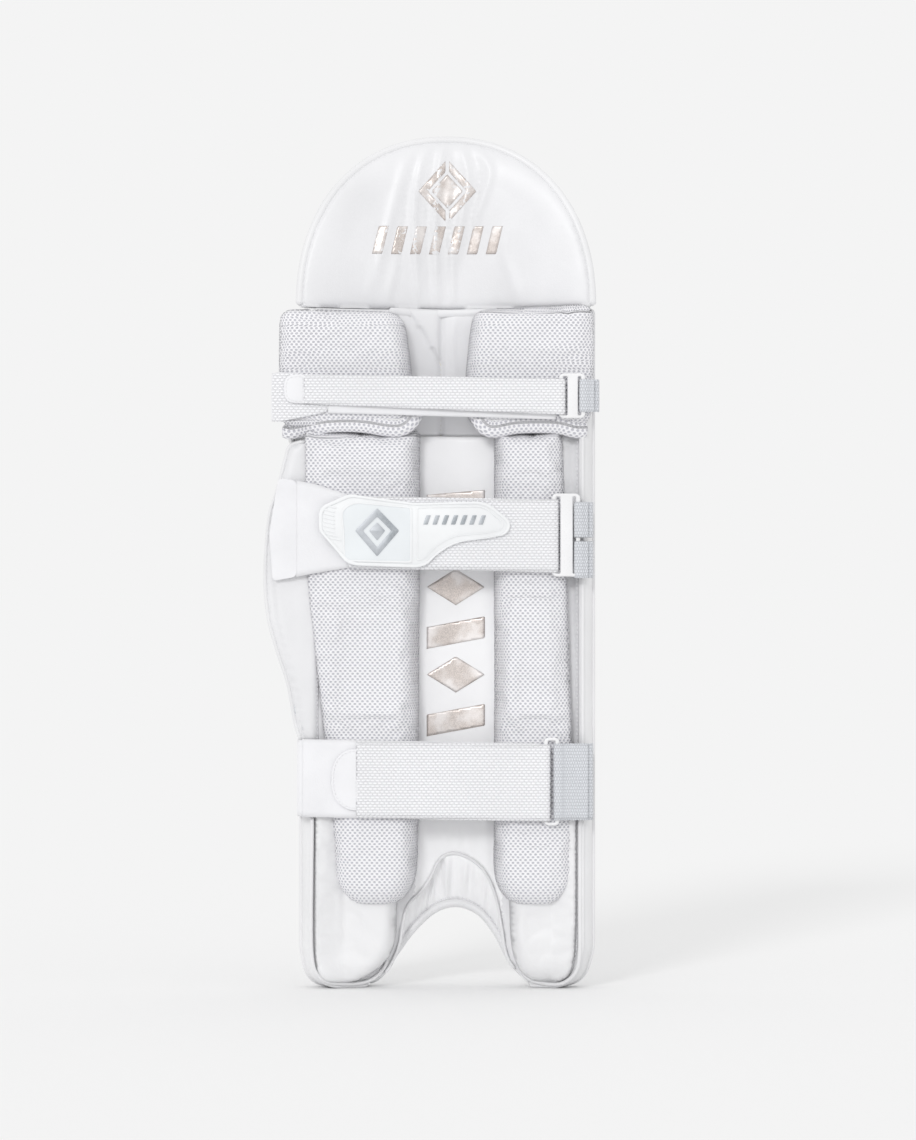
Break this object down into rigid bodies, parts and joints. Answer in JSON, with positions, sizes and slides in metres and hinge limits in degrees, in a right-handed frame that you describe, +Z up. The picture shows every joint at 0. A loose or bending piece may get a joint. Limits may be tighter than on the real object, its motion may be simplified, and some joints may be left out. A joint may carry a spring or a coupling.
{
  "type": "cricket leg pad",
  "caption": "Padded batting leg guard with ribbed shin face, knee rolls, domed top, mesh bolsters, a flexing calf wing and hook-and-loop straps on swivelling rings.",
  "frame": {"origin": "centre of the footprint on the floor, under the middle of the pad's bounding box, with the pad standing on its two lobes", "axes": "+Z up the leg from the shoe to the thigh, +Y towards the batting face, -Y the leg side with the straps, +X to the right when the leg side is seen"},
  "size_m": [0.2729, 0.0869, 0.7],
  "materials": {
    "cover": "white soft PU-coated cover, fine grain",
    "air_mesh": "white knitted air mesh with small round holes",
    "webbing": "white woven webbing and loop tape",
    "hook_tape": "white hook tape backing",
    "ring_plastic": "white moulded nylon",
    "badge_rubber": "white moulded soft rubber, satin",
    "foam": "closed-cell foam, hidden",
    "board": "stiff backing board, hidden"
  },
  "bodies": {
    "shell": {"shin_rib_1": "cover", "shin_rib_2": "cover", "shin_rib_3": "cover", "shin_rib_4": "cover", "shin_rib_5": "cover", "shin_rib_6": "cover", "shin_rib_7": "cover", "shin_rib_8": "cover", "rib_cores": "foam", "knee_roll_lower": "cover", "knee_roll_middle": "cover", "knee_roll_upper": "cover", "knee_roll_cores": "foam", "shell_foam": "foam", "backing_board": "board", "inner_lining": "cover", "knee_lining": "cover", "top_hat_face": "cover", "top_hat_foam": "foam", "top_hat_lining": "cover", "top_hat_binding": "cover", "side_wall_left": "cover", "side_wall_right": "cover", "edge_piping_left": "cover", "edge_piping_right": "cover", "instep_lining": "cover", "arch_binding": "cover", "lobe_pad_left": "cover", "lobe_pad_right": "cover", "lobe_foams": "foam", "knee_cup_left": "air_mesh", "knee_cup_right": "air_mesh", "knee_cup_foams": "foam", "knee_cup_rim_left": "air_mesh", "knee_cup_rim_right": "air_mesh", "bolster_left": "air_mesh", "bolster_right": "air_mesh", "bolster_foams": "foam", "top_strap_anchor": "cover", "top_strap_base": "webbing", "top_strap_loop": "webbing", "mid_strap_base": "webbing", "mid_strap_loop_upper": "webbing", "mid_strap_loop_lower": "webbing", "bottom_strap_base": "webbing", "bottom_strap_loop": "webbing"},
    "calf_wing": {"calf_wing_cover": "cover", "calf_wing_foam": "foam", "mid_strap_anchor": "cover"},
    "top_ring": {"top_strap_ring": "ring_plastic"},
    "top_flap": {"top_strap_return": "webbing", "top_hook_tab": "hook_tape"},
    "mid_ring": {"mid_strap_ring": "ring_plastic"},
    "mid_flap": {"mid_strap_return": "webbing", "mid_hook_patch": "hook_tape", "mid_strap_badge": "badge_rubber"},
    "bottom_ring": {"bottom_strap_ring": "ring_plastic"},
    "bottom_flap": {"bottom_strap_return": "webbing", "bottom_hook_tab": "hook_tape"}
  },
  "joints": [
    {"name": "wing_flex", "type": "hinge", "parent": "shell", "child": "calf_wing", "pos_m": [-0.111, -0.0175, 0.315], "axis": [0, 0, 1], "range_deg": [-15, 12], "stiffness_Nm_per_rad": 0.5},
    {"name": "top_ring_swivel", "type": "hinge", "parent": "shell", "child": "top_ring", "pos_m": [0.1216, -0.03575, 0.485], "axis": [0, 0, 1], "range_deg": [0, 25]},
    {"name": "top_flap_open", "type": "hinge", "parent": "top_ring", "child": "top_flap", "pos_m": [0.104, -0.03575, 0.485], "axis": [0, 0, 1], "range_deg": [0, 110]},
    {"name": "mid_ring_swivel", "type": "hinge", "parent": "shell", "child": "mid_ring", "pos_m": [0.1174, -0.03575, 0.3715], "axis": [0, 0, 1], "range_deg": [0, 25]},
    {"name": "mid_flap_open", "type": "hinge", "parent": "mid_ring", "child": "mid_flap", "pos_m": [0.0983, -0.03575, 0.3715], "axis": [0, 0, 1], "range_deg": [0, 110]},
    {"name": "bottom_ring_swivel", "type": "hinge", "parent": "shell", "child": "bottom_ring", "pos_m": [0.1006, -0.03575, 0.1705], "axis": [0, 0, 1], "range_deg": [0, 25]},
    {"name": "bottom_flap_open", "type": "hinge", "parent": "bottom_ring", "child": "bottom_flap", "pos_m": [0.0917, -0.03575, 0.1705], "axis": [0, 0, 1], "range_deg": [0, 110]}
  ]
}
